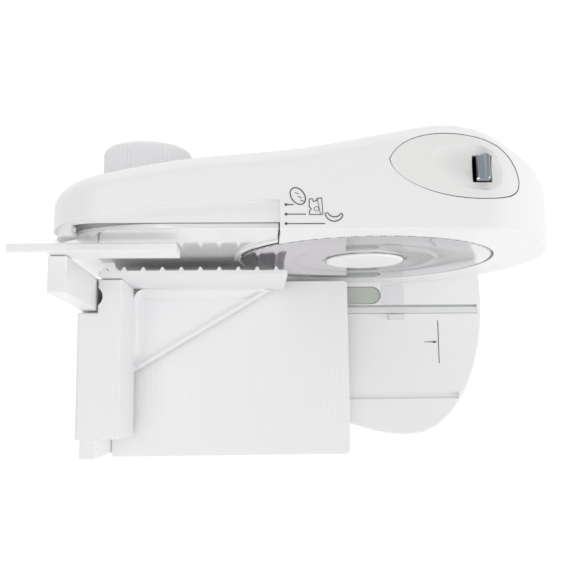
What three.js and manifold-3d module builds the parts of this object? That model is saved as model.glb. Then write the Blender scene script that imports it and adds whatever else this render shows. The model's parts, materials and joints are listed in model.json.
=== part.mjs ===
// Domestic electric food slicer with a toothed disc blade, thickness plate, sliding food carriage and
// remnant pusher. Millimetres, +Z up. While modelling, X = 0 and Y = 0 are at the blade's centre and its
// cutting plane and Z = 0 is the table; X runs along the carriage's travel, +Y goes behind the blade. The
// group's offset at the end moves the bottom centre of the whole machine to the origin.
import * as THREE from 'three';
import { mergeVertices } from 'three/addons/utils/BufferGeometryUtils.js';
import Module from 'manifold-3d';

const wasm = await Module();
wasm.setup();

// ---------------------------------------------------------------- driving dimensions
const GAP = 0.3;                 // clearance between pieces that rest on or sit in one another
const WALL = 3;                  // plastic wall thickness

const BLADE_R = 85;              // cutting edge radius
const AXIS_Z = 135;              // height of the blade's axis
const HUB_R = 26.4;
const RECESS = { r: 86.2, depth: 5 };   // round recess in the housing's front for the blade

const BASE_TOP = 27;
const BASE_BOTTOM = 6;
const FOOT_R = 11;

const HOUSING = {
  left: -193, top: 237.5, right: 119.7,      // right: radius about the blade's axis
  cornerLeft: 32, cornerRight: 31,           // outline corner radii
  front: 0.5, frontRound: 1.5, backRound: 12,
};
// Curve of the back face seen from above, x and y: a slim arm that swells into the drive end.
const BACK = [[-193, 29.2], [-120, 43.6], [-50, 50.7], [0, 59.5], [38, 65], [75, 55.5], [119.7, 45]];

const GAUGE = { left: -206, top: 231.5, right: -61.5, bottom: 51, front: 3, thick: 2.6, corner: 80 };
const GAUGE_ARC = { r: 86.4, rim: 3, proud: 1.6 };   // concave edge around the blade, with a raised rim
const ARCH = { left: -172, right: -52, top: 116 };   // slice outlet through the housing

const KNOB = { x: -145, z: 160, r: 28.7, front: 45.2, back: 69.4, ribs: 40 };
const BARS = [[-112, 205], [-78, 205]];      // guide bars of the thickness plate, x and z

const WHEEL = { r: 36, front: 25, back: 35 };
const MOTOR = { z: 93, y: 30, r: 19.5, left: 32, right: 84 };

const TRAY = { left: -184.2, right: -3.4, front: -135.2, back: -2.2, top: 58.5, thick: 3 };
const WALL_X = [-195.6, -184.5]; // carriage wall
const WALL_TOP = 116;            // low part of the carriage wall
const WALL_FRONT = -132.5;
const FIN = { front: -30.6, back: -8.6, top: 211 };
const GUARD = {
  left: -217, right: -120, back: -3.2, front: -8.2,
  top: 221, wing: 217.5, low: 197, inner: -195.6,    // deep part from inner to right, thin wing beyond it
};

const PUSH = {
  left: -197, right: -167, front: -119, back: -33, top: 125.4, bottom: 62,
  web: 66, webFront: -68,          // top of the flat web beside the block and its front corner
};
const TOOTHED = { left: -181, right: -53, back: -6.5, front: -9.5, top: 140, bottom: 62 };
const TEETH = { count: 10, pitch: 12.8, first: -176, width: 4.2, reach: 2.4 };

const RAIL = { left: -170, right: 107, front: -25.2, back: -19.9, slit: 1.9 };
const GROOVE = { left: -168, right: 89, front: -94.2, back: -89.2, depth: 2.5 };

// Step in the housing's top over the thickness plate: its depth, and the slot's left end for the plate.
const LID_STEP = { depth: 2.2, slotLeft: -178 };
const SWITCH = { x: 55, y: 36.5, w: 4.8, l: 7.4 };    // rocker's centre and half sizes in the housing's top
const PANEL_THICK = 5.5;
const COVER = { x: 18, z: 120, w: 62, h: 70, r: 14 };  // rear cover's centre, half sizes and corners
const INLET = { x: 30, z: 38 };

const ORIGIN = [48.66, 31.67, 0];  // from the blade's axis to the bottom centre of the machine

// ---------------------------------------------------------------- helpers
const V2 = (x, y) => new THREE.Vector2(x, y);

function solidOf(geometry) {
  const bare = geometry.clone();
  for (const name of Object.keys(bare.attributes)) {
    if (name !== 'position') bare.deleteAttribute(name);
  }
  const merged = mergeVertices(bare, 1e-4);
  return new wasm.Manifold(new wasm.Mesh({
    numProp: 3,
    vertProperties: Float32Array.from(merged.attributes.position.array),
    triVerts: Uint32Array.from(merged.index.array),
  }));
}

function geometryOf(solid) {
  const mesh = solid.getMesh();
  const geometry = new THREE.BufferGeometry();
  geometry.setAttribute('position', new THREE.BufferAttribute(mesh.vertProperties, 3));
  geometry.setIndex(new THREE.BufferAttribute(mesh.triVerts, 1));
  geometry.computeVertexNormals();
  return geometry;
}

const join = (...parts) => geometryOf(parts.map(solidOf).reduce((a, b) => a.add(b)));
const cut = (body, ...tools) => geometryOf(tools.map(solidOf).reduce((a, b) => a.subtract(b), solidOf(body)));
const common = (a, b) => geometryOf(solidOf(a).intersect(solidOf(b)));

function box([x0, x1], [y0, y1], [z0, z1]) {
  const geometry = new THREE.BoxGeometry(x1 - x0, y1 - y0, z1 - z0);
  return geometry.translate((x0 + x1) / 2, (y0 + y1) / 2, (z0 + z1) / 2);
}

// A shape drawn in X and Z, extruded from y0 to y1.
function plateXZ(shape, y0, y1, curveSegments = 12) {
  const geometry = new THREE.ExtrudeGeometry(shape, { depth: y1 - y0, bevelEnabled: false, curveSegments });
  return geometry.rotateX(Math.PI / 2).translate(0, y1, 0);
}

// A shape drawn in X and Y, extruded from z0 to z1, with an optional rounded edge inside that height.
function plateXY(shape, z0, z1, round = 0, curveSegments = 12) {
  const geometry = new THREE.ExtrudeGeometry(shape, {
    depth: z1 - z0 - 2 * round, curveSegments, bevelEnabled: round > 0,
    bevelThickness: round, bevelSize: round, bevelOffset: -round, bevelSegments: 2,
  });
  return geometry.translate(0, 0, z0 + round);
}

// A shape drawn in Y and Z, extruded from x0 to x1.
function plateYZ(shape, x0, x1, curveSegments = 12) {
  const geometry = new THREE.ExtrudeGeometry(shape, { depth: x1 - x0, bevelEnabled: false, curveSegments });
  const turn = new THREE.Matrix4().makeBasis(
    new THREE.Vector3(0, 1, 0), new THREE.Vector3(0, 0, 1), new THREE.Vector3(1, 0, 0));
  return geometry.applyMatrix4(turn).translate(x0, 0, 0);
}

const polygon = (points) => new THREE.Shape(points.map(([x, y]) => V2(x, y)));

function roundedRect(x0, x1, y0, y1, r) {
  const shape = new THREE.Shape();
  shape.absarc(x1 - r, y0 + r, r, -Math.PI / 2, 0);
  shape.absarc(x1 - r, y1 - r, r, 0, Math.PI / 2);
  shape.absarc(x0 + r, y1 - r, r, Math.PI / 2, Math.PI);
  shape.absarc(x0 + r, y0 + r, r, Math.PI, Math.PI * 1.5);
  return shape;
}

// A body turned about a line along Y through (x, z); the profile lists radius and y.
function turned(profile, x, z, segments = 32) {
  return new THREE.LatheGeometry(profile.map(([r, y]) => V2(r, y)), segments).translate(x, 0, z);
}

const disc = (r, y0, y1, x, z, segments) => turned([[0, y0], [r, y0], [r, y1], [0, y1]], x, z, segments);

function rod(axis, r, from, to, a, b, segments = 20) {
  const geometry = new THREE.CylinderGeometry(r, r, to - from, segments);
  const middle = (from + to) / 2;
  if (axis === 'x') return geometry.rotateZ(-Math.PI / 2).translate(middle, a, b);
  if (axis === 'y') return geometry.translate(a, middle, b);
  return geometry.rotateX(Math.PI / 2).translate(a, b, middle);
}

// A closed skin over rings of equal length, capped at both ends. The cap's triangles come from capOutline.
function loft(rings, capOutline) {
  const count = rings[0].length;
  const positions = rings.flat().flatMap((p) => [p.x, p.y, p.z]);
  const index = [];
  for (let k = 0; k < rings.length - 1; k += 1) {
    for (let i = 0; i < count; i += 1) {
      const j = (i + 1) % count;
      const [a, b, c, d] = [k * count + i, k * count + j, (k + 1) * count + j, (k + 1) * count + i];
      index.push(a, c, b, a, d, c);
    }
  }
  const last = (rings.length - 1) * count;
  for (const [a, b, c] of THREE.ShapeUtils.triangulateShape(capOutline, [])) {
    index.push(a, b, c, last + a, last + c, last + b);
  }
  const geometry = new THREE.BufferGeometry();
  geometry.setAttribute('position', new THREE.Float32BufferAttribute(positions, 3));
  geometry.setIndex(index);
  return geometry;
}

// ---------------------------------------------------------------- object
const slicer = new THREE.Group();

const PLASTIC = { color: 0xf1f1f2, roughness: 0.3, metalness: 0 };
const STEEL = { color: 0xc9cbcd, roughness: 0.15, metalness: 1 };
const RUBBER = { color: 0x8b8d8e, roughness: 0.8, metalness: 0 };
const DARK = { color: 0x2f3133, roughness: 0.4, metalness: 0 };
const GREY = { color: 0xa4aba2, roughness: 0.5, metalness: 0 };
const BRASS = { color: 0xb5914f, roughness: 0.35, metalness: 1 };
const NYLON = { color: 0xe8e2d0, roughness: 0.55, metalness: 0 };

function add(name, geometry, look, parent = slicer) {
  const mesh = new THREE.Mesh(geometry, new THREE.MeshStandardMaterial(look));
  mesh.name = name;
  parent.add(mesh);
  return mesh;
}

// ---------------------------------------------------------------- housing
// Outline in X and Z as points with their outward normals, counter-clockwise seen from the front.
function housingOutline() {
  const { left, top, right, cornerLeft, cornerRight } = HOUSING;
  const bottom = BASE_TOP - 9;
  const rise = top - AXIS_Z - cornerRight;
  const reach = Math.sqrt((right - cornerRight) ** 2 - rise ** 2);
  const points = [];
  const arc = (x, z, r, from, to, steps) => {
    for (let i = 0; i <= steps; i += 1) {
      const a = from + (to - from) * i / steps;
      const n = V2(Math.cos(a), Math.sin(a));
      points.push({ p: V2(x + r * n.x, z + r * n.y), n });
    }
  };
  const joint = Math.atan2(rise, reach);
  const low = -Math.asin((AXIS_Z - bottom) / right);
  arc(0, AXIS_Z, right, low, joint, 24);
  arc(reach, AXIS_Z + rise, cornerRight, joint + 0.1, Math.PI / 2, 5);
  const topSteps = 18;
  for (let i = 1; i < topSteps; i += 1) {
    points.push({ p: V2(reach + (left + cornerLeft - reach) * i / topSteps, top), n: V2(0, 1) });
  }
  arc(left + cornerLeft, top - cornerLeft, cornerLeft, Math.PI / 2, Math.PI, 9);
  points.push({ p: V2(left, bottom), n: V2(-1, 0) });
  return points;
}

// The y of the back face at x, on a smooth curve through the points of BACK.
function backAt(position) {
  const last = BACK.length - 1;
  const x = Math.min(BACK[last][0], Math.max(BACK[0][0], position));
  const slope = (k) => {
    const [a, b] = [BACK[Math.max(0, k - 1)], BACK[Math.min(last, k + 1)]];
    return (b[1] - a[1]) / (b[0] - a[0]);
  };
  let i = 0;
  while (i < last - 1 && x > BACK[i + 1][0]) i += 1;
  const [[x0, y0], [x1, y1]] = [BACK[i], BACK[i + 1]];
  const w = x1 - x0;
  const t = (x - x0) / w;
  return y0 * (2 * t ** 3 - 3 * t ** 2 + 1) + slope(i) * w * (t ** 3 - 2 * t ** 2 + t)
    + y1 * (3 * t ** 2 - 2 * t ** 3) + slope(i + 1) * w * (t ** 3 - t ** 2);
}

// The housing's body, shrunk inward by inset: straight sides, rounded into the curved back face.
function housingBody(inset, front, frontRound) {
  const outline = housingOutline();
  const { left, right, top, backRound } = HOUSING;
  const round = backRound - inset;
  const ring = (shrink, y) => outline.map(({ p, n }) => {
    const x = p.x - n.x * shrink;
    return new THREE.Vector3(x, y(x), p.y - n.y * shrink);
  });
  const rings = [ring(inset, () => front + frontRound)];
  if (frontRound) rings.unshift(ring(inset + frontRound, () => front));
  const steps = 7;
  for (let k = 0; k <= steps; k += 1) {
    const a = (k / steps) * Math.PI / 2;
    rings.push(ring(inset + round * (1 - Math.cos(a)), (x) => backAt(x) - inset - round * (1 - Math.sin(a))));
  }
  rings.push(ring(inset + round, () => 90));
  const plan = [[left - 10, -10]];
  const planSteps = 32;
  for (let k = 0; k <= planSteps; k += 1) {
    const x = left + (right - left) * k / planSteps;
    plan.push([x, backAt(x) - inset - 0.05]);
  }
  plan.push([right + 10, backAt(right) - inset - 0.05], [right + 10, -10]);
  plan.splice(1, 0, [left - 10, backAt(left) - inset - 0.05]);
  return common(loft(rings, outline.map(({ p }) => p)), plateXY(polygon(plan.reverse()), 0, top + 1));
}

const BODY = housingBody(0, HOUSING.front, HOUSING.frontRound);

function coverShape(grow) {
  const [w, h] = [COVER.w + grow, COVER.h + grow];
  return roundedRect(-w, w, -h, h, COVER.r);
}

// What lies outside a depth below the housing's surface, within the outline of the rear cover, the
// switch panel or the step over the thickness plate.
const beyond = (depth, prism) => cut(prism, housingBody(depth, -5, 0));

function coverRegion(grow, depth) {
  return beyond(depth, plateXZ(coverShape(grow), 36, 80).translate(COVER.x, 0, COVER.z));
}

const panelRegion = (grow, depth) => beyond(depth, plateXY(panelShape(grow), 180, HOUSING.top + 5, 0, 14));
const stepRegion = (grow, depth) => beyond(depth, plateXY(stepShape(grow), 150, HOUSING.top + 5));

function archShape(grow) {
  const shape = new THREE.Shape();
  const r = 22 + grow;
  shape.moveTo(ARCH.left - grow, 0);
  shape.lineTo(ARCH.right + grow, 0);
  shape.absarc(ARCH.right + grow - r, ARCH.top + grow - r, r, 0, Math.PI / 2);
  shape.absarc(ARCH.left - grow + r, ARCH.top + grow - r, r, Math.PI / 2, Math.PI);
  return shape;
}

function gaugeShape(grow) {
  const g = GAUGE;
  const r = g.corner + grow;
  const arcR = GAUGE_ARC.r - grow;
  const shape = new THREE.Shape();
  const right = g.right + grow;
  const bottom = g.bottom - grow;
  const start = Math.PI + Math.asin((AXIS_Z - bottom) / arcR);
  const end = Math.acos(right / arcR);
  shape.absarc(0, AXIS_Z, arcR, start, end, true);
  shape.lineTo(right, g.top + grow);
  shape.absarc(g.left + g.corner, g.top - g.corner, r, Math.PI / 2, Math.PI);
  shape.lineTo(g.left - grow, bottom);
  return shape;
}

// Plan of the step in the housing's top over the thickness plate.
function stepShape(grow) {
  const shape = new THREE.Shape();
  const right = GAUGE.right + 0.7 + grow;
  shape.moveTo(right, -1);
  shape.lineTo(right, 18.2 + grow);
  shape.quadraticCurveTo(-135, 17 + grow, -202, 3 + grow);
  shape.lineTo(-202, -1);
  return shape;
}

function panelShape(grow) {
  const shape = new THREE.Shape();
  shape.moveTo(2 - grow, 41.5);
  shape.bezierCurveTo(6, 51 + grow, 18, 56.5 + grow, 34, 56.5 + grow);
  shape.bezierCurveTo(62, 56 + grow, 82 + grow, 42, 79 + grow, 28);
  shape.bezierCurveTo(75, 18 - grow, 56, 18 - grow, 44, 19.2 - grow);
  shape.bezierCurveTo(22, 21.5 - grow, 3, 31, 2 - grow, 41.5);
  return shape;
}

function housing() {
  const { top, front } = HOUSING;
  const floor = front + RECESS.depth;
  const hollow = cut(
    housingBody(WALL, front + WALL, 0),
    disc(RECESS.r + WALL, -2, floor + WALL, 0, AXIS_Z, 48),
    plateXZ(archShape(WALL), -5, 90, 8),
    panelRegion(WALL, PANEL_THICK + WALL),
    stepRegion(WALL, LID_STEP.depth + WALL),
  );
  const shell = cut(BODY, box([-300, 200], [-10, 120], [-10, BASE_TOP + GAP]), hollow);
  return cut(
    shell,
    disc(RECESS.r, -2, floor, 0, AXIS_Z, 64),
    disc(9, 0, 20, 0, AXIS_Z, 20),
    plateXZ(archShape(0), -5, 90, 8),
    plateXZ(gaugeShape(1.2), -2, 17.5, 10),
    stepRegion(0, LID_STEP.depth),
    box([LID_STEP.slotLeft, GAUGE.right + 0.7], [-1, GAUGE.front + GAUGE.thick + GAP], [150, top + 1]),
    panelRegion(0.55, PANEL_THICK + GAP),
    box([SWITCH.x - 9, SWITCH.x + 9], [SWITCH.y - 11, SWITCH.y + 11], [top - 12, top]),
    rod('y', 5.2, 20, 60, KNOB.x, KNOB.z),
    coverRegion(0.4, WALL + 1),
    rod('y', 5.4, 50, 80, INLET.x, INLET.z),
  );
}
add('housing', housing(), PLASTIC);

function rearCover() {
  const slots = [];
  for (let i = -4; i <= 4; i += 1) {
    const slot = plateXZ(roundedRect(i * 9 - 2, i * 9 + 2, -52, -22, 1.9), 36, 80, 1);
    slots.push(slot.translate(COVER.x, 0, COVER.z));
  }
  return cut(common(BODY, coverRegion(0, WALL - 0.2)), ...slots);
}
add('rear_cover', rearCover(), PLASTIC);

function gland() {
  const profile = [
    [0, -8], [4.9, -8], [4.9, 0.4], [7.5, 0.4], [7.5, 2.4], [4.6, 4], [4, 7], [2.6, 7], [2.6, -4], [0, -4],
  ];
  return turned(profile, INLET.x, INLET.z, 20).translate(0, backAt(INLET.x), 0);
}
add('inlet_gland', gland(), DARK);

// ---------------------------------------------------------------- base
function baseShape(grow) {
  const shape = new THREE.Shape();
  shape.moveTo(-188 - grow, -84);
  shape.bezierCurveTo(-188 - grow, -95, -184, -100 - grow, -172, -100 - grow);
  shape.lineTo(-60, -100 - grow);
  shape.bezierCurveTo(-15, -100 - grow, 5, -123 - grow, 48, -123 - grow);
  shape.bezierCurveTo(88 + grow, -123 - grow, 111 + grow, -68, 111 + grow, -16);
  shape.bezierCurveTo(111 + grow, 34, 100 + grow, 66 + grow, 62, 66 + grow);
  shape.bezierCurveTo(0, 66 + grow, -60, 50 + grow, -172, 42 + grow);
  shape.bezierCurveTo(-186, 40 + grow, -188 - grow, 34, -188 - grow, 20);
  return shape;
}

function pocketShape() {
  const shape = new THREE.Shape();
  shape.moveTo(-30, -17.2);
  shape.lineTo(22, -17.2);
  shape.absarc(20.5, -9.9, 7.2, -Math.PI / 2, Math.PI / 2);
  shape.lineTo(-30, -2.7);
  return shape;
}

const FEET = [[-168, -82], [-166, 22], [52, -98], [74, 40]];

function base() {
  const tub = cut(
    plateXY(baseShape(0), BASE_BOTTOM, BASE_TOP, 2.5, 9),
    plateXY(baseShape(-WALL), BASE_BOTTOM - 1, BASE_TOP - 6, 0, 9),
  );
  const pads = FEET.map(([x, y]) => rod('z', FOOT_R + 2, BASE_BOTTOM + 0.5, BASE_TOP - 4, x, y, 18));
  return cut(
    join(tub, ...pads),
    box([RAIL.left, RAIL.right], [RAIL.front, RAIL.back + RAIL.slit], [BASE_TOP - 4, BASE_TOP + 1]),
    box([GROOVE.left, GROOVE.right], [GROOVE.front, GROOVE.back], [BASE_TOP - GROOVE.depth, BASE_TOP + 1]),
    plateXY(pocketShape(), BASE_TOP - 3.5, BASE_TOP + 1),
  );
}
add('base', base(), PLASTIC);

FEET.forEach(([x, y], i) => {
  const height = BASE_BOTTOM + 0.2;
  const profile = [[0, 0], [FOOT_R - 1.5, 0], [FOOT_R, 1.5], [FOOT_R - 0.8, height], [0, height]];
  const foot = new THREE.LatheGeometry(profile.map(([r, z]) => V2(r, z)), 20).rotateX(Math.PI / 2);
  add(`foot_${i + 1}`, foot.translate(x, y, 0), RUBBER);
});

function rail() {
  const { left, right, front, back } = RAIL;
  return box([left + GAP, right - GAP], [front + GAP, back], [BASE_TOP - 4 + GAP, BASE_TOP + 0.6]);
}
add('guide_rail', rail(), STEEL);
const stop = plateXY(roundedRect(33, 46.4, -30.4, -26.2, 1.2), BASE_TOP + GAP, BASE_TOP + 4, 0, 4);
add('carriage_stop', stop, GREY);

// ---------------------------------------------------------------- blade and drive
function blade() {
  return turned([
    [6.2, 1.4], [30, 1.4], [62, 1.0], [64, 0.2], [78, 0.0], [BLADE_R, 0.9], [BLADE_R, 1.3],
    [79, 2.2], [62, 2.6], [30, 2.8], [6.2, 2.8], [6.2, 1.4],
  ], 0, AXIS_Z, 64);
}
add('blade', blade(), STEEL);

add('blade_hub', turned([
  [0, -0.6], [HUB_R - 1.2, -0.6], [HUB_R, 0.1], [HUB_R, 1.1], [0, 1.1],
], 0, AXIS_Z, 40), PLASTIC);

function wormWheel() {
  const teeth = 40;
  const shape = new THREE.Shape();
  for (let i = 0; i < teeth * 2; i += 1) {
    const a = i * Math.PI / teeth;
    const r = WHEEL.r - (i % 2) * 2.4;
    shape[i ? 'lineTo' : 'moveTo'](r * Math.cos(a), r * Math.sin(a));
  }
  const wheel = plateXZ(shape, WHEEL.front, WHEEL.back, 4).translate(0, 0, AXIS_Z);
  const holes = [0, 1, 2, 3].map((i) => {
    const a = Math.PI / 4 + i * Math.PI / 2;
    return rod('y', 7, WHEEL.front - 1, WHEEL.back + 1, 20 * Math.cos(a), AXIS_Z + 20 * Math.sin(a), 16);
  });
  return cut(wheel, disc(5.3, WHEEL.front - 1, WHEEL.back + 1, 0, AXIS_Z, 20), ...holes);
}
add('worm_wheel', wormWheel(), NYLON);
add('blade_axle', turned([
  [0, 1.4], [5.9, 1.4], [5.9, 3.2], [8, 3.2], [8, 5.2], [5, 5.2], [5, WHEEL.back + 5], [0, WHEEL.back + 5],
], 0, AXIS_Z, 24), STEEL);
add('axle_bush', turned([[5.3, 12], [8.6, 12], [8.6, 24.6], [5.3, 24.6], [5.3, 12]], 0, AXIS_Z, 24), BRASS);

function gearPlate() {
  const plate = plateXZ(roundedRect(-34, 84, 66, 172, 10), 14, 18, 6);
  const clearMotor = rod('x', MOTOR.r + 1, 0, 130, MOTOR.y, MOTOR.z, 28);
  return cut(plate, disc(8.9, 10, 24, 0, AXIS_Z, 24), clearMotor);
}
add('gear_plate', gearPlate(), STEEL);

add('motor_can', (() => {
  const can = rod('x', MOTOR.r, MOTOR.left, MOTOR.right, MOTOR.y, MOTOR.z, 32);
  const bore = rod('x', MOTOR.r - 3, MOTOR.left - 1, MOTOR.right - 12, MOTOR.y, MOTOR.z, 32);
  return cut(can, bore, rod('x', 4, MOTOR.left, MOTOR.right + 2, MOTOR.y, MOTOR.z));
})(), STEEL);

function armature() {
  const along = (r, from, to, n = 20) => rod('x', r, from, to, MOTOR.y, MOTOR.z, n);
  return join(
    along(3, -22, MOTOR.right + 10),
    along(5, -16, 16, 16),
    along(MOTOR.r - 6, MOTOR.left + 6, MOTOR.right - 22, 12),
  );
}
add('armature', armature(), STEEL);

function fan() {
  const hub = rod('x', 6, MOTOR.right + 1.5, MOTOR.right + 8, 0, 0, 16);
  const vane = box([MOTOR.right + 1.5, MOTOR.right + 7], [-0.8, 0.8], [4, 16]);
  const vanes = [0, 1, 2, 3, 4, 5, 6, 7].map((i) => vane.clone().rotateX(i * Math.PI / 4));
  const wheel = cut(join(hub, ...vanes), rod('x', 3.3, MOTOR.right, MOTOR.right + 12, 0, 0));
  return wheel.translate(0, MOTOR.y, MOTOR.z);
}
add('fan', fan(), NYLON);

// ---------------------------------------------------------------- thickness plate and its knob
function gaugePlate() {
  const { front, thick } = GAUGE;
  const { r, rim, proud } = GAUGE_ARC;
  const plate = plateXZ(gaugeShape(0), front, front + thick, 20);
  const ring = turned([
    [r, front - proud], [r + rim - 1, front - proud], [r + rim, front - proud + 0.8], [r + rim, front + 1],
    [r, front + 1], [r, front - proud],
  ], 0, AXIS_Z, 96);
  return join(plate, common(ring, plateXZ(gaugeShape(0.5), front - 5, front + 5, 20)));
}
add('gauge_plate', gaugePlate(), PLASTIC);

// Hood behind the plate's top and left edges, which slides under the housing's lid.
function gaugeCarrier() {
  const y0 = GAUGE.front + GAUGE.thick + GAP;
  const skinThick = 2.5;
  const edge = GAUGE.right - 2;
  const hood = (grow) => {
    const shape = new THREE.Shape();
    shape.moveTo(edge, 212);
    shape.lineTo(edge, GAUGE.top + grow);
    const { left, top, corner } = GAUGE;
    shape.absarc(left + corner, top - corner, corner + grow, Math.PI / 2, Math.PI * 0.76);
    shape.lineTo(-182, 194);
    shape.lineTo(-96, 196);
    return shape;
  };
  const plan = polygon([[-190, y0], [edge, y0], [edge, 19], [-110, 18], [-150, 14.5], [-190, 8.2]]);
  const inner = common(
    plateXZ(hood(-4 - skinThick), y0 + 3, 20, 10),
    box([-179, edge + 1], [0, 30], [190, 240]),
  );
  return cut(common(plateXZ(hood(-4), y0, 20, 10), plateXY(plan, 150, 240)), inner);
}
add('gauge_carrier', gaugeCarrier(), PLASTIC);

BARS.forEach(([x, z], i) => {
  add(`guide_bar_${i + 1}`, rod('y', 3.5, 9.2 + GAP, 30, x, z, 16), STEEL);
});

function barBracket() {
  const foot = ARCH.top + WALL + GAP;
  const block = box([BARS[0][0] - 9, BARS[1][0] + 9], [21, 27], [foot, BARS[0][1] + 9]);
  return cut(block, ...BARS.map(([x, z]) => rod('y', 3.9, 15, 40, x, z, 16)));
}
add('bar_bracket', barBracket(), NYLON);

function knob() {
  const { x, z, r, front, back, ribs } = KNOB;
  const body = turned([
    [0, front], [r - 2, front], [r - 0.7, front + 2], [r - 0.7, back - 3], [r - 1.8, back - 0.9],
    [r - 4, back - 0.2], [0, back],
  ], x, z, 40);
  const bars = [];
  for (let i = 0; i < ribs; i += 1) {
    const rib = box([r - 3, r], [front + 3, back - 3.5], [-0.9, 0.9]);
    bars.push(rib.rotateY(i * Math.PI * 2 / ribs).translate(x, 0, z));
  }
  return cut(join(body, ...bars), rod('y', 4.3, front - 2, back - 8, x, z, 16));
}
add('thickness_knob', knob(), PLASTIC);
add('knob_shaft', rod('y', 4, 22, KNOB.back - 8.4, KNOB.x, KNOB.z, 16), STEEL);

function cam() {
  const shape = new THREE.Shape();
  const steps = 36;
  for (let i = 0; i < steps; i += 1) {
    const a = i * Math.PI * 2 / steps;
    const r = 9 + 7 * i / steps;
    shape[i ? 'lineTo' : 'moveTo'](r * Math.cos(a), r * Math.sin(a));
  }
  const plate = plateXZ(shape, 24, 29, 4).translate(KNOB.x, 0, KNOB.z);
  return cut(plate, rod('y', 4.3, 20, 32, KNOB.x, KNOB.z, 16));
}
add('knob_cam', cam(), NYLON);

// ---------------------------------------------------------------- switch
function switchPanel() {
  const { x, y, w, l } = SWITCH;
  const dish = new THREE.SphereGeometry(1, 36, 20).scale(27, 13, 5).rotateY(0.05).rotateZ(-0.2);
  dish.translate(x - 6, y + 0.5, HOUSING.top + 0.8);
  const { top } = HOUSING;
  const window = box([x - w - 0.5, x + w + 1.2], [y - l - 0.5, y + l + 0.5], [top - 9, top + 2]);
  return cut(common(BODY, panelRegion(0, PANEL_THICK)), dish, window);
}
add('switch_panel', switchPanel(), PLASTIC);

// Rocker with a raised crest, turning about a pin along Y below the panel.
const ROCKER_Z = 232;
function rocker() {
  const { x, y, w, l } = SWITCH;
  const shape = new THREE.Shape();
  shape.moveTo(-w + 1.2, -3);
  shape.lineTo(w - 1.2, -3);
  shape.lineTo(w - 0.4, 4.4);
  shape.quadraticCurveTo(w - 1, 8.6, 0.4, 9.4);
  shape.quadraticCurveTo(-1.6, 7.2, -w + 0.4, 6.2);
  return plateXZ(shape, -l, l, 6).translate(x, y, ROCKER_Z);
}
add('switch_rocker', rocker(), { color: 0x8a8c8e, roughness: 0.12, metalness: 1 });

function switchModule() {
  const { x, y } = SWITCH;
  const tub = box([x - 8, x + 8], [y - 10.5, y + 10.5], [206, 228]);
  return cut(tub, box([x - 6, x + 6], [y - 8.5, y + 8.5], [210, 230]));
}
add('switch_module', switchModule(), DARK);

// ---------------------------------------------------------------- carriage
function tray() {
  const { left, right, front, back, top, thick } = TRAY;
  const plate = plateXY(roundedRect(left, right, front, back, 3), top - thick, top, 0.8, 4);
  const skirt = cut(
    plateXY(roundedRect(left + 1, right - 1, front + 1, back - 1, 3), top - 9, top - thick + 0.5, 0, 4),
    plateXY(roundedRect(left + 4, right - 4, front + 4, back - 4, 3), top - 10, top - thick + 0.2, 0, 4),
  );
  return join(plate, skirt);
}
add('carriage_tray', tray(), PLASTIC);

function carriageWall() {
  const side = (grow) => polygon([
    [WALL_FRONT - grow, 46], [FIN.back + grow, 46], [FIN.back + grow, FIN.top + grow],
    [FIN.front - grow, FIN.top + grow], [FIN.front - 1 - grow, WALL_TOP + grow],
    [WALL_FRONT - grow, WALL_TOP + grow],
  ]);
  const inside = plateYZ(side(-WALL), WALL_X[0] + WALL, WALL_X[1] - WALL);
  return cut(plateYZ(side(0), WALL_X[0], WALL_X[1]), inside);
}
add('carriage_wall', carriageWall(), PLASTIC);

function guardPlate() {
  const { left, right, back, front, top, wing, low, inner } = GUARD;
  const shape = polygon([[left, wing], [inner, wing], [inner, low], [right, low], [right, top], [left, top]]);
  return plateXZ(shape, front, back);
}
add('guard_plate', guardPlate(), PLASTIC);

const legTop = TRAY.top - TRAY.thick - GAP;
add('runner_rear', join(
  box([-160, -30], [-25.6, -16], [BASE_TOP + 1, legTop]),
  box([-150, -50], [RAIL.back + 0.4, RAIL.back + 1.5], [BASE_TOP - 2.5, BASE_TOP + 2]),
), NYLON);
add('runner_front', join(
  box([-160, -30], [-96, -87.4], [BASE_TOP + 1, legTop]),
  box([-150, -66], [GROOVE.front + 0.8, GROOVE.back - 0.8], [BASE_TOP - 1.8, BASE_TOP + 2]),
), NYLON);

// ---------------------------------------------------------------- pusher
function pusher() {
  const { left, right, front, back, top, web, bottom, webFront } = PUSH;
  const clear = 0.5;
  const inner = WALL_X[1] + clear + 0.5;       // side next to the tall part of the wall
  const rear = TOOTHED.front - GAP;
  const outline = polygon([
    [left, front], [right, front], [right, rear], [inner, rear], [inner, back], [left, back],
  ]);
  const block = plateXY(outline, bottom, top - 0.01, 2, 1);
  const overWall = box([WALL_X[0] - 5, WALL_X[1] + clear], [front - 1, back + 1], [0, WALL_TOP + clear]);
  const hollow = box([WALL_X[1] + 4, right - 3.5], [front + 4, rear - 6], [0, top - 8]);
  const thumb = rod('z', 7.5, 0, 200, inner - 4, -22, 20);
  const tip = V2(TOOTHED.right - 9, rear);
  const corner = V2(right, webFront - 4);
  const inset = right - 5;
  const floor = polygon([[inset, rear], [inset, corner.y], [corner.x, corner.y], [tip.x, tip.y]]);
  const run = corner.clone().sub(tip);
  const lip = box([9, run.length() - 5], [-2.6, -0.2], [web - 2, web + 1.6]);
  lip.rotateZ(Math.atan2(run.y, run.x)).translate(tip.x, tip.y, 0);
  return cut(join(block, plateXY(floor, bottom, web), lip), overWall, hollow, thumb);
}
add('pusher', pusher(), PLASTIC);

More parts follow.
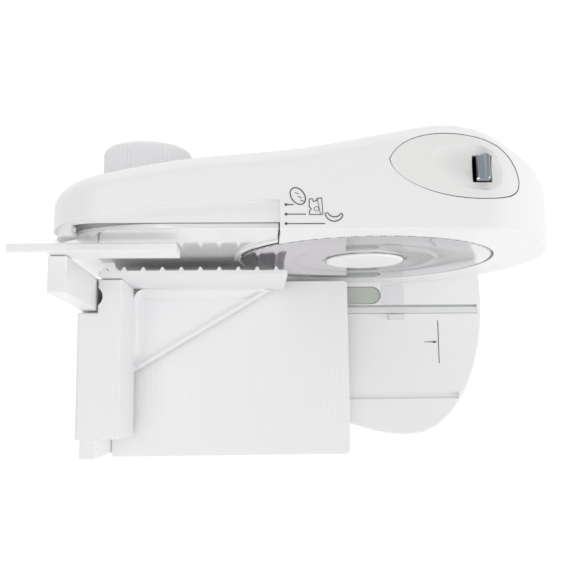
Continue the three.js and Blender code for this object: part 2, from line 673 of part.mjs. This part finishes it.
function toothedPlate() {
  const { left, right, back, front, top, bottom } = TOOTHED;
  const shape = roundedRect(left, right, bottom, top, 4);
  const plate = plateXZ(shape, front, back, 4);
  const teeth = [];
  for (let i = 0; i < TEETH.count; i += 1) {
    const x = TEETH.first + i * TEETH.pitch;
    const tooth = polygon([[x - TEETH.width / 2, back - 0.5], [x + TEETH.width / 2, back - 0.5],
      [x + 0.5, back + TEETH.reach], [x - 0.5, back + TEETH.reach]]);
    teeth.push(plateXY(tooth, bottom + 8, top));
  }
  return join(plate, ...teeth);
}
add('toothed_plate', toothedPlate(), PLASTIC);

// ---------------------------------------------------------------- origin at the bottom centre
slicer.position.set(...ORIGIN);
slicer.updateMatrixWorld(true);

export default slicer;
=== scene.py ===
"""Looks for the electric food slicer: materials, fine detail, light, floor and camera."""
import json
import math

import bmesh
import bpy
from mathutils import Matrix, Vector
from mathutils.bvhtree import BVHTree


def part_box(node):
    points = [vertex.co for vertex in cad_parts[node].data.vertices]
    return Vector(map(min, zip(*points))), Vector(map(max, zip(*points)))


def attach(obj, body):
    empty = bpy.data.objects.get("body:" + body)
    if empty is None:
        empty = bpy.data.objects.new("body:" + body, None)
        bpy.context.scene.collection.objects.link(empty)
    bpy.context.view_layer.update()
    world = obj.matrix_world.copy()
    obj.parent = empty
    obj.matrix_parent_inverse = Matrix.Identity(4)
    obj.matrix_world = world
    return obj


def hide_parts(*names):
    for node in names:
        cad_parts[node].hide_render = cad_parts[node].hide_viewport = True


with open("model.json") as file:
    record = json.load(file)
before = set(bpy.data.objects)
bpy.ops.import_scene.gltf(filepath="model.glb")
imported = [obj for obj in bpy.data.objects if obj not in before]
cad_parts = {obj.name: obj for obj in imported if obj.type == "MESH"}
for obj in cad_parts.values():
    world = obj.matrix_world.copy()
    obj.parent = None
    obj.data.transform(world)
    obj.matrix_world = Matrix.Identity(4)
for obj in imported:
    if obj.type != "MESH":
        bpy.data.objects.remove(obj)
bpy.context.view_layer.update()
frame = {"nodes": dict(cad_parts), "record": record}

MM = 0.001

# ------------------------------------------------------------------ the frame's landmarks
blade_low, blade_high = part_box("blade")
AXIS = Vector(((blade_low.x + blade_high.x) / 2, blade_low.y, (blade_low.z + blade_high.z) / 2))


def at(x, y, z):
    """A point given in millimetres from the blade's centre, with z from the table."""
    return Vector((AXIS.x + x * MM, AXIS.y + y * MM, z * MM))


def limits(node):
    """The low and the high corner of a node's box, in the millimetres that at() takes."""
    return [Vector(((p.x - AXIS.x) / MM, (p.y - AXIS.y) / MM, p.z / MM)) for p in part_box(node)]


TOP = limits("housing")[1].z
DECK_TOP = limits("base")[1].z


# ------------------------------------------------------------------ materials
def shader(name, color, roughness, metallic=0.0, coat=0.0, specular=0.5):
    """A material with its settings on the Principled shader's own sockets."""
    material = bpy.data.materials.new(name)
    material.use_nodes = True
    bsdf = material.node_tree.nodes["Principled BSDF"]
    bsdf.inputs["Base Color"].default_value = (*color, 1)
    bsdf.inputs["Roughness"].default_value = roughness
    bsdf.inputs["Metallic"].default_value = metallic
    bsdf.inputs["Coat Weight"].default_value = coat
    bsdf.inputs["Coat Roughness"].default_value = 0.05
    bsdf.inputs["Specular IOR Level"].default_value = specular
    return material, material.node_tree, bsdf


def noise(tree, scale, detail=2.0, stretch=(1, 1, 1)):
    """Noise fixed to the object; a stretch below 1 draws it out along that axis."""
    coords = tree.nodes.new("ShaderNodeTexCoord")
    mapping = tree.nodes.new("ShaderNodeMapping")
    mapping.inputs["Scale"].default_value = stretch
    texture = tree.nodes.new("ShaderNodeTexNoise")
    texture.inputs["Scale"].default_value = scale
    texture.inputs["Detail"].default_value = detail
    tree.links.new(coords.outputs["Object"], mapping.inputs["Vector"])
    tree.links.new(mapping.outputs["Vector"], texture.inputs["Vector"])
    return texture.outputs["Fac"]


def uneven_gloss(tree, bsdf, source, low, high):
    """Maps a 0..1 texture onto a roughness from low to high."""
    node = tree.nodes.new("ShaderNodeMapRange")
    node.inputs["To Min"].default_value = low
    node.inputs["To Max"].default_value = high
    tree.links.new(source, node.inputs["Value"])
    tree.links.new(node.outputs["Result"], bsdf.inputs["Roughness"])


def bump(tree, bsdf, height, strength, distance):
    """Fine relief from a 0..1 texture; the distance is in millimetres."""
    node = tree.nodes.new("ShaderNodeBump")
    node.inputs["Strength"].default_value = strength
    node.inputs["Distance"].default_value = distance * MM
    tree.links.new(height, node.inputs["Height"])
    tree.links.new(node.outputs["Normal"], bsdf.inputs["Normal"])


def tint(tree, bsdf, source, low, high):
    """Mixes two colours by a 0..1 texture."""
    mix = tree.nodes.new("ShaderNodeMix")
    mix.data_type = "RGBA"
    mix.inputs[6].default_value = (*low, 1)
    mix.inputs[7].default_value = (*high, 1)
    tree.links.new(source, mix.inputs[0])
    tree.links.new(mix.outputs[2], bsdf.inputs["Base Color"])


def plastic(name, color, roughness, coat=0.0, grain=0.0):
    """Moulded plastic: faint tone drift, slightly uneven gloss and, with grain, a fine texture."""
    drift_scale, gloss_scale, grain_scale = 9, 60, 2600
    material, tree, bsdf = shader(name, color, roughness, coat=coat)
    darker = [c * 0.985 for c in color]
    lighter = [min(1, c * 1.01) for c in color]
    tint(tree, bsdf, noise(tree, drift_scale), darker, lighter)
    uneven_gloss(tree, bsdf, noise(tree, gloss_scale, 3), roughness * 0.88, roughness * 1.12)
    if grain:
        bump(tree, bsdf, noise(tree, grain_scale), grain, 0.04)
    return material


def metal(name, color, roughness, brushed=None):
    """Plain metal or, given a stretch, metal brushed along the axis with the small number."""
    material, tree, bsdf = shader(name, color, roughness, metallic=1.0)
    if brushed:
        streaks = noise(tree, 300, 3, brushed)
        uneven_gloss(tree, bsdf, streaks, roughness * 0.7, roughness * 1.3)
        bump(tree, bsdf, streaks, 0.1, 0.02)
    return material


def turned_steel(name, color, roughness):
    """Polished disc: fine grooves in rings about the blade's axis."""
    material, tree, bsdf = shader(name, color, roughness, metallic=1.0)
    coords = tree.nodes.new("ShaderNodeTexCoord")
    mapping = tree.nodes.new("ShaderNodeMapping")
    mapping.inputs["Location"].default_value = (-AXIS.x, 0, -AXIS.z)
    mapping.inputs["Scale"].default_value = (1, 0, 1)
    rings = tree.nodes.new("ShaderNodeTexWave")
    rings.wave_type = "RINGS"
    rings.rings_direction = "SPHERICAL"
    rings.inputs["Scale"].default_value = 420
    rings.inputs["Distortion"].default_value = 0.6
    tree.links.new(coords.outputs["Object"], mapping.inputs["Vector"])
    tree.links.new(mapping.outputs["Vector"], rings.inputs["Vector"])
    uneven_gloss(tree, bsdf, rings.outputs["Fac"], roughness * 0.7, roughness * 1.5)
    bump(tree, bsdf, rings.outputs["Fac"], 0.04, 0.01)
    return material


SHELL = plastic("shell_plastic", (0.80, 0.80, 0.81), 0.4, coat=0.04)
PANEL = plastic("panel_plastic", (0.765, 0.765, 0.755), 0.36, coat=0.05)
CARRIAGE = plastic("carriage_plastic", (0.81, 0.81, 0.815), 0.36, grain=0.1)
PUSHER = plastic("pusher_plastic", (0.80, 0.80, 0.81), 0.36, grain=0.1)
GAUGE = plastic("gauge_plastic", (0.80, 0.80, 0.805), 0.08, coat=0.6)
KNOB = plastic("knob_plastic", (0.76, 0.753, 0.77), 0.4, grain=0.15)
# Mauve-grey of the thin patch beside the rail: painted shadow on the deck.
RAIL_SHADOW = plastic("rail_painted_shadow", (0.70, 0.685, 0.705), 0.35)
GREY = plastic("grey_plastic", (0.68, 0.70, 0.68), 0.4)
# Green-grey of the round-ended recess's floor: painted shade in the recess.
RECESS_SHADE = plastic("recess_painted_shade", (0.43, 0.475, 0.42), 0.4)
DARK = plastic("dark_plastic", (0.03, 0.03, 0.033), 0.4)
NYLON = plastic("gear_nylon", (0.72, 0.68, 0.58), 0.5, grain=0.1)
RUBBER = plastic("foot_rubber", (0.12, 0.12, 0.125), 0.75, grain=0.4)
INK = plastic("mark_ink", (0.035, 0.035, 0.04), 0.45)
BLADE = turned_steel("blade_steel", (0.62, 0.595, 0.62), 0.1)
EDGE = turned_steel("blade_edge", (0.30, 0.30, 0.31), 0.16)
STEEL = metal("steel", (0.50, 0.51, 0.52), 0.32, brushed=(1, 0.05, 1))
CHROME = metal("rocker_chrome", (0.34, 0.38, 0.42), 0.05)
BRASS = metal("bush_brass", (0.60, 0.42, 0.18), 0.3, brushed=(1, 0.1, 1))

LOOKS = {
    "shell_plastic": SHELL, "panel_plastic": PANEL, "carriage_plastic": CARRIAGE, "pusher_plastic": PUSHER,
    "gauge_plastic": GAUGE, "knob_plastic": KNOB, "grey_plastic": GREY, "dark_plastic": DARK,
    "gear_nylon": NYLON, "foot_rubber": RUBBER, "blade_steel": BLADE, "steel": STEEL,
    "rocker_chrome": CHROME, "bush_brass": BRASS,
}
SLOT_OF = {part["node"]: part["material_slot"] for part in frame["record"]["subparts"]}


# ------------------------------------------------------------------ CAD nodes
def smooth(obj):
    for polygon in obj.data.polygons:
        polygon.use_smooth = True


def soften(obj, width, segments=3, angle=30):
    """Welds the mesh, merges its flat facets, rounds its edges and keeps its large faces flat.

    The width in millimetres is the most an edge gets: the bevel narrows it where faces are small.
    """
    weld_gap, flat_angle, face_weight = 0.08, 0.4, 80
    smooth(obj)
    weld = obj.modifiers.new("weld", "WELD")
    weld.merge_threshold = weld_gap * MM
    flat = obj.modifiers.new("flat", "DECIMATE")
    flat.decimate_type = "DISSOLVE"
    flat.angle_limit = math.radians(flat_angle)
    edges = obj.modifiers.new("edges", "BEVEL")
    edges.width = width * MM
    edges.segments = segments
    edges.limit_method = "ANGLE"
    edges.angle_limit = math.radians(angle)
    normals = obj.modifiers.new("normals", "WEIGHTED_NORMAL")
    normals.weight = face_weight


# Widest rounding of each node's edges, in millimetres.
PLAIN_ROUNDING = 0.25
ROUNDING = {
    "housing": 0.7, "rear_cover": 0.7, "base": 0.8, "carriage_wall": 1.0, "guard_plate": 0.9,
    "carriage_tray": 0.6, "gauge_plate": 0.5, "gauge_carrier": 0.5, "pusher": 1.2, "toothed_plate": 0.5,
    "thickness_knob": 0.5, "switch_rocker": 0.3, "blade_hub": 0.2,
    "foot_1": 0.6, "foot_2": 0.6, "foot_3": 0.6, "foot_4": 0.6,
}
# Degrees a fold needs before it is rounded, where that isn't the usual 30.
EDGE_ANGLE = {"housing": 50}


def dress_nodes():
    """Gives every CAD node its material and soft edges."""
    for name, node in frame["nodes"].items():
        node.data.materials.clear()
        node.data.materials.append(LOOKS[SLOT_OF[name]])
        soften(node, ROUNDING.get(name, PLAIN_ROUNDING), angle=EDGE_ANGLE.get(name, 30))


dress_nodes()


# ------------------------------------------------------------------ making pieces
def piece(name, mesh, material, body, shade=True):
    """A new visible piece that rides on a body."""
    obj = bpy.data.objects.new(name, mesh)
    bpy.context.scene.collection.objects.link(obj)
    obj.data.materials.append(material)
    if shade:
        smooth(obj)
    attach(obj, body)
    return obj


def mesh_of(name, points, faces):
    """A mesh with its doubled points merged and its faces turned outward."""
    mesh = bpy.data.meshes.new(name)
    mesh.from_pydata([tuple(p) for p in points], [], faces)
    builder = bmesh.new()
    builder.from_mesh(mesh)
    bmesh.ops.remove_doubles(builder, verts=builder.verts, dist=1e-7)
    bmesh.ops.recalc_face_normals(builder, faces=builder.faces)
    builder.to_mesh(mesh)
    builder.free()
    return mesh


def skin(count, sections, start=0):
    """Faces that join sections of count points one after the other and close both ends."""
    last = start + (sections - 1) * count
    faces = [tuple(range(start, start + count)), tuple(range(last, last + count))]
    for first in range(start, last, count):
        for i in range(count):
            j = (i + 1) % count
            faces.append((first + i, first + j, first + count + j, first + count + i))
    return faces


def line(name, points, thickness, material, closed=False):
    """A printed or moulded line on the stand: a thin round tube along the points."""
    curve = bpy.data.curves.new(name, "CURVE")
    curve.dimensions = "3D"
    curve.bevel_depth = thickness / 2 * MM
    curve.bevel_resolution = 2
    curve.use_fill_caps = True
    spline = curve.splines.new("POLY")
    spline.points.add(len(points) - 1)
    for target, point in zip(spline.points, points):
        target.co = (*point, 1)
    spline.use_cyclic_u = closed
    obj = bpy.data.objects.new(name, curve)
    bpy.context.scene.collection.objects.link(obj)
    curve.materials.append(material)
    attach(obj, "stand")


def turned(name, profile, centre, count, trim):
    """A body turned about a line along Y, from a closed profile of radius and y from the cutting plane.

    trim(radius, y, angle) gives how much the radius shrinks there, for waves and flutes.
    """
    points, faces = [], []
    for radius, y in profile:
        for i in range(count):
            angle = 2 * math.pi * i / count
            reach = radius - trim(radius, y, angle)
            points.append(centre + Vector((reach * math.cos(angle), y, reach * math.sin(angle))) * MM)
    rings = len(profile)
    for k in range(rings):
        ring, following = k * count, (k + 1) % rings * count
        for i in range(count):
            j = (i + 1) % count
            faces.append((ring + i, ring + j, following + j, following + i))
    return mesh_of(name, points, faces)


def plate(name, sides, low, high, material):
    """A flat plate on the stand, with sides in X and Y, from low to high, with rounded edges."""
    points = [at(x, y, z) for z in (low, high) for x, y in sides]
    obj = piece(name, mesh_of(name, points, skin(len(sides), 2)), material, "stand")
    soften(obj, 0.3, segments=2, angle=50)


def arc(x, y, r, start, end, steps):
    """Points on an arc, angles in degrees."""
    turn = [math.radians(start + (end - start) * i / steps) for i in range(steps + 1)]
    return [(x + r * math.cos(a), y + r * math.sin(a)) for a in turn]


# ------------------------------------------------------------------ blade
def blade():
    """Disc with a groove round its hub, a shallow step, a ground bevel and a scalloped cutting edge."""
    scallops, per_scallop, depth = 64, 10, 0.65
    rim, dark_band, bore = 1.0, 0.9, 6.2
    edge = limits("blade")[1].x
    hub = limits("blade_hub")[1].x
    seat = [(bore, 1.3), (hub + 0.2, 1.3)]
    groove = [(hub + 0.35, 2.3), (hub + 2.2, 2.3), (hub + 2.6, 1.1)]
    step = [(46.5, 0.95), (47.6, 0.85), (49.6, 0.2), (50.6, 0.06)]
    bevel = [(75.2, 0.02), (76.4, 0.1), (edge - 1.2, 0.5), (edge - 0.4, 0.95), (edge, 1.05)]
    back = [(edge, 1.25), (79, 2.1), (62, 2.6), (28, 2.8), (bore, 2.8)]

    def scallop(radius, y, angle):
        return depth * (1 - abs(math.cos(angle * scallops / 2))) if radius > edge - rim else 0

    profile = seat + groove + step + bevel + back
    mesh = turned("blade_disc", profile, AXIS, scallops * per_scallop, scallop)
    obj = piece("blade_disc", mesh, BLADE, "disc")
    mesh.materials.append(EDGE)
    for polygon in mesh.polygons:
        reach = (polygon.center - AXIS).length / MM
        polygon.material_index = int(reach > edge - dark_band)
    mesh.set_sharp_from_angle(angle=math.radians(25))
    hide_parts("blade")


blade()


# ------------------------------------------------------------------ thickness knob
def knob():
    """Grip with fine flutes that run out into its rounded ends."""
    flutes, per_flute, depth, run_out = 60, 8, 0.36, 3
    bore, wall = 4.3, 8.2
    low, high = limits("thickness_knob")
    r, front, back = (high.x - low.x) / 2, low.y, high.y
    middle = (low + high) / 2
    socket = [(0, back - wall), (bore, back - wall), (bore, front)]
    front_round = [(r - 3, front), (r - 1.6, front + 0.4), (r - 0.5, front + 1.3), (r, front + 2.8)]
    back_round = [(r, back - 4.2), (r - 0.25, back - 3), (r - 0.9, back - 1.8), (r - 1.9, back - 0.9)]
    crown = [(r - 3.2, back - 0.35), (r - 5, back - 0.1), (0, back)]

    def flute(radius, y, angle):
        fade = max(0, min(1, (y - front) / run_out, (back - 1 - y) / run_out))
        return depth * fade * (1 - math.cos(angle * flutes)) if radius > r - 2 else 0

    profile = socket + front_round + back_round + crown
    mesh = turned("fluted_knob", profile, at(middle.x, 0, middle.z), flutes * per_flute, flute)
    obj = piece("fluted_knob", mesh, KNOB, "dial")
    mesh.set_sharp_from_angle(angle=math.radians(50))
    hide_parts("thickness_knob")


knob()


# ------------------------------------------------------------------ pusher
def cove():
    """Hollow fillet where the pusher's web meets its block and the toothed plate."""
    block_x, front_y, web_top = -167.02, -64, 66
    radius, corner, corner_steps, sunk = 7, 9, 8, -0.2
    wall_y = limits("toothed_plate")[0].y - 0.02
    tip = limits("pusher")[1].x - 18

    # Along the block, round the corner and along the plate: x, y, direction outward and share of the size.
    path = [(block_x, front_y, 1, 0, 0.3), (block_x, front_y + 8, 1, 0, 1)]
    path.append((block_x, wall_y - corner - 1, 1, 0, 1))
    for i in range(corner_steps + 1):
        a = math.pi - math.pi / 2 * i / corner_steps
        nx, ny = -math.cos(a), -math.sin(a)
        path.append((block_x + corner - corner * nx, wall_y - corner - corner * ny, nx, ny, 1))
    path += [(block_x + corner + 4, wall_y, 0, -1, 1), (tip, wall_y, 0, -1, 1)]
    path.append((tip + 13, wall_y, 0, -1, 0.15))

    section = [(0, sunk), (0, radius)]
    for t in (0.2, 0.5, 0.8, 1.1, 1.37):
        section.append((radius - radius * math.cos(t), radius - radius * math.sin(t)))
    section += [(radius, 0), (radius, sunk)]
    points = []
    for x, y, nx, ny, size in path:
        points += [at(x + nx * out * size, y + ny * out * size, web_top + up * size) for out, up in section]
    mesh = mesh_of("pusher_cove", points, skin(len(section), len(path)))
    piece("pusher_cove", mesh, PUSHER, "holder")


cove()


# ------------------------------------------------------------------ base details
def base_details():
    """Painted shadow beside the rail, as a thin mauve-grey patch on the deck, and the round-ended recess's
    floor, coloured green-grey as painted shade.
    """
    recess_left, recess_right, recess_y, recess_r = -29.5, 20.2, -9.95, 6.9
    recess = arc(recess_right, recess_y, recess_r, -90, 90, 12)
    recess += [(recess_left, recess_y + recess_r), (recess_left, recess_y - recess_r)]
    # The recess's floor is coloured dark green-grey: painted shade in the shallow recess.
    plate("recess_floor", recess, DECK_TOP - 3.3, DECK_TOP - 1.2, RECESS_SHADE)
    # A thin mauve-grey patch on the deck beside the rail, darker than the deck: painted shadow.
    left, right, front, back = 28.4, 47, -17.6, -1
    shadow_patch = [(left, front), (right, front), (right, back), (left, back)]
    plate("rail_shadow_patch", shadow_patch, DECK_TOP + 0.02, DECK_TOP + 0.5, RAIL_SHADOW)


base_details()


# ------------------------------------------------------------------ carriage tray
def tray_ribs():
    """Low ribs along the tray, so that food slides easily."""
    pitch, height, width, sunk = 2.2, 0.08, 1.2, -0.1
    low, high = limits("carriage_tray")
    first, end = low.x + 19, high.x - 4
    section = [(-width / 2, sunk), (-width / 4, height), (width / 4, height), (width / 2, sunk)]
    points, faces = [], []
    for k in range(math.ceil((end - first) / pitch)):
        faces += skin(len(section), 2, len(points))
        for y in (low.y + 4, high.y - 3):
            points += [at(first + k * pitch + across, y, high.z + up) for across, up in section]
    mesh = mesh_of("tray_ribs", points, faces)
    piece("tray_ribs", mesh, CARRIAGE, "carriage", shade=False)


tray_ribs()


# ------------------------------------------------------------------ printed marks
def outline(name, points, thickness=0.68, closed=True):
    """A printed outline on the housing's top, from points in X and Y."""
    line(name, [at(x, y, TOP) for x, y in points], thickness, INK, closed)


def leaf(x, y, half_length, half_width, angle, steps=20):
    """Points of an ellipse turned by an angle in degrees."""
    a = math.radians(angle)
    points = []
    for i in range(steps):
        t = 2 * math.pi * i / steps
        u, v = half_length * math.cos(t), half_width * math.sin(t)
        points.append((x + u * math.cos(a) - v * math.sin(a), y + u * math.sin(a) + v * math.cos(a)))
    return points


def scale_marks():
    """Three lines that start at a dot, each pointing at the food it suits."""
    start, dot_r = -57.4, 0.4
    for k, (y, end) in enumerate(((15.0, -53.2), (9.5, -46.3), (4.1, -35.7)), 1):
        outline(f"scale_line_{k}", [(start, y), (end, y)], 0.6, closed=False)
        outline(f"scale_dot_{k}", leaf(start, y, dot_r, dot_r, 0, 12), 0.9)


def loaf(x, y):
    """Oval loaf with three cuts in its crust."""
    outline("loaf", leaf(x, y, 5.3, 3.7, 125))
    for k, shift in enumerate((-2.6, -0.4, 1.8), 1):
        cut_x, cut_y = x - shift * 0.7, y + shift
        cut = [(cut_x - 0.4, cut_y + 0.2), (cut_x + 1.9, cut_y - 0.6)]
        outline(f"loaf_cut_{k}", cut, 0.45, closed=False)


def cheese(x, y):
    """Wedge of cheese with a bite in its back, a notch in its side, a hole and the line of its cut face."""
    rind = [(-3.6, 4.3), (-2, 4.4), (-1.3, 2.8), (0.3, 3.3), (0.8, 4.6), (3.4, 4.8), (3.9, -4.6),
            (-3.6, -4.6), (-3.6, -2.6), (-2.4, -1.5), (-3.7, -0.3)]
    outline("cheese", [(x + dx, y + dy) for dx, dy in rind])
    outline("cheese_hole", leaf(x + 0.4, y - 1.4, 1.3, 1.3, 0, 12), 0.4)
    outline("cheese_side", [(x + 0.8, y + 4.6), (x + 2.6, y - 4.6)], 0.4, closed=False)


def banana(x, y):
    """Crescent between an outer and a flatter inner arc."""
    outline("banana", arc(x, y, 5.2, 188, 342, 14) + arc(x + 0.2, y + 1.6, 4.3, 330, 205, 12))


scale_marks()
loaf(-50.7, 19.9)
cheese(-40.7, 13.9)
banana(-30.4, 10.6)


def panel_seam():
    """Near-black line in the seam round the switch insert, just below the insert's rim: painted shade of
    the gap.

    The rim is found by dropping rays from above, each moving inward until it meets the insert.
    """
    steps, start, stride = 120, 60, 0.2
    outward, below, thickness = 0.3, 0.5, 0.95
    low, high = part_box("switch_panel")
    panel = frame["nodes"]["switch_panel"].data
    tree = BVHTree.FromPolygons([v.co for v in panel.vertices], [list(f.vertices) for f in panel.polygons])
    middle = (low + high) / 2
    middle.z = high.z + 10 * MM
    down = Vector((0, 0, -1))
    points = []
    for i in range(steps):
        angle = 2 * math.pi * i / steps
        out = Vector((math.cos(angle), math.sin(angle), 0))
        reach, hit = start * MM, None
        while hit is None:
            reach -= stride * MM
            hit = tree.ray_cast(middle + out * reach, down)[0]
        points.append(hit + (out * outward + down * below) * MM)
    # A near-black tube in the seam: painted shade of the gap round the insert.
    line("switch_seam_shade", points, thickness, DARK, closed=True)


panel_seam()


# ------------------------------------------------------------------ rocker switch
def rocker():
    """Bright rocker with a hollow left flank, a crest and a steep right flank."""
    low, high = limits("switch_rocker")
    middle = (low + high) / 2
    half_x, half_y, _ = (high - low) / 2
    base, crest = low.z, high.z
    crest_x, crest_rise, lean, hollow = 0.7, 2.2, 0.7, 3.6
    section = [(-half_x + 1, base), (half_x - 1, base)]
    for t in (0.5, 0.75, 1):
        section.append((half_x - 0.1 - lean * t ** 2, base + (crest - crest_rise - base) * t))
    for t in (0.4, 0.8, 1.2, 1.57):
        section.append((crest_x + (half_x - 1.5) * math.cos(t), crest - crest_rise * (1 - math.sin(t))))
    for t in (0.1, 0.25, 0.4, 0.6, 0.8, 1):
        section.append((crest_x - (half_x + 0.4) * t, crest - hollow * (1 - (1 - t) ** 2.4)))

    # Cuts across the rocker: where along its half width, and how much of the ends' rounding applies there.
    stem, draw_in, lower = 4, 0.1, 1.1
    end = [(0.8, 0), (0.9, 0.08), (0.97, 0.35), (1, 0.75)]
    cuts = [(-along, inset) for along, inset in reversed(end)] + end
    points = []
    for along, inset in cuts:
        for x, z in section:
            lift = max(0, z - base - stem) / (crest - base)
            points.append(at(middle.x + x * (1 - draw_in * inset), middle.y + along * half_y,
                             z - lower * inset * lift))
    mesh = mesh_of("rocker_cap", points, skin(len(section), len(cuts)))
    obj = piece("rocker_cap", mesh, CHROME, "rocker")
    mesh.set_sharp_from_angle(angle=math.radians(45))
    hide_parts("switch_rocker")


def power_mark():
    """Small ring beside the rocker, in the switch insert's dish."""
    low, high = limits("switch_rocker")
    middle = (low + high) / 2
    left, front, dish, radius = 7.6, 2.2, 3.9, 1.0
    ring = leaf(middle.x - left, middle.y - front, radius, radius, 0, 16)
    line("power_ring", [at(x, y, TOP - dish) for x, y in ring], 0.35, GREY, closed=True)


rocker()
power_mark()


# ------------------------------------------------------------------ marks on the base
def base_marks():
    """Line at the carriage's end of travel, with an arrow that points at it."""
    line_x, line_back, line_front, arrow_y = 74.2, -31, -66, -48.6
    line("travel_line", [at(line_x, y, DECK_TOP) for y in (line_back, line_front)], 0.7, INK)
    line("travel_arrow", [at(x, arrow_y, DECK_TOP) for x in (62.7, 71)], 0.6, INK)
    line("travel_arrow_tip", [at(x, arrow_y, DECK_TOP) for x in (69.5, 72)], 1.6, INK)


base_marks()


# ------------------------------------------------------------------ floor, light, camera
def floor():
    """Plain pale floor with a glow of its own, so that it stays even and nearly white."""
    side = 6
    corners = [(-side, -side, 0), (side, -side, 0), (side, side, 0), (-side, side, 0)]
    mesh = bpy.data.meshes.new("floor")
    mesh.from_pydata(corners, [], [(0, 1, 2, 3)])
    obj = bpy.data.objects.new("floor", mesh)
    bpy.context.scene.collection.objects.link(obj)
    material, _, bsdf = shader("floor_white", (0.27, 0.27, 0.27), 0.9, specular=0.1)
    bsdf.inputs["Emission Color"].default_value = (1, 1, 1, 1)
    bsdf.inputs["Emission Strength"].default_value = 0.85
    mesh.materials.append(material)


def light(name, place, target, size, power):
    """A rectangular area light, in metres and watts, turned towards its target."""
    data = bpy.data.lights.new(name, "AREA")
    data.shape = "RECTANGLE"
    data.size, data.size_y = size
    data.energy = power
    obj = bpy.data.objects.new(name, data)
    bpy.context.scene.collection.objects.link(obj)
    obj.location = place
    obj.rotation_euler = (Vector(target) - Vector(place)).to_track_quat("-Z", "Y").to_euler()


def studio():
    """Four soft lights in an even white room with a darker patch straight overhead."""
    world = bpy.data.worlds.new("studio")
    world.use_nodes = True
    tree = world.node_tree
    background = tree.nodes["Background"]
    background.inputs["Color"].default_value = (1, 1, 1, 1)
    coords = tree.nodes.new("ShaderNodeTexCoord")
    toward_patch = tree.nodes.new("ShaderNodeVectorMath")
    toward_patch.operation = "DOT_PRODUCT"
    toward_patch.inputs[1].default_value = (0.1, 0.05, 0.994)
    shade = tree.nodes.new("ShaderNodeMapRange")
    shade.interpolation_type = "SMOOTHSTEP"
    shade.inputs["From Min"].default_value = 0.93
    shade.inputs["From Max"].default_value = 0.985
    shade.inputs["To Min"].default_value = 0.58
    shade.inputs["To Max"].default_value = 0.12
    tree.links.new(coords.outputs["Generated"], toward_patch.inputs[0])
    tree.links.new(toward_patch.outputs["Value"], shade.inputs["Value"])
    tree.links.new(shade.outputs["Result"], background.inputs["Strength"])
    bpy.context.scene.world = world
    light("overhead", place=(-0.15, -0.3, 1.9), target=(0, 0, 0.1), size=(1.2, 1.2), power=10.5)
    light("front", place=(-0.1, -2.0, 0.75), target=(0, 0, 0.12), size=(2.4, 1.0), power=8)
    light("back", place=(0, 1.9, 0.7), target=(0, 0, 0.2), size=(2.4, 0.8), power=11)
    light("right", place=(2.0, -0.5, 0.7), target=(0, 0, 0.12), size=(1.0, 0.8), power=12)
    bpy.context.scene.view_settings.view_transform = "Standard"
    bpy.context.scene.view_settings.gamma = 1.12


def camera():
    """High in front and a little to the left, looking almost straight down."""
    from_blade = Vector((-74.0, -90.9, 534.6)) * MM
    turn = (7.98, -1.98, -0.6)
    data = bpy.data.cameras.new("camera")
    data.lens = 50
    data.sensor_width = 36
    obj = bpy.data.objects.new("camera", data)
    bpy.context.scene.collection.objects.link(obj)
    obj.location = AXIS + from_blade
    obj.rotation_euler = [math.radians(degrees) for degrees in turn]
    bpy.context.scene.camera = obj


floor()
studio()
camera()
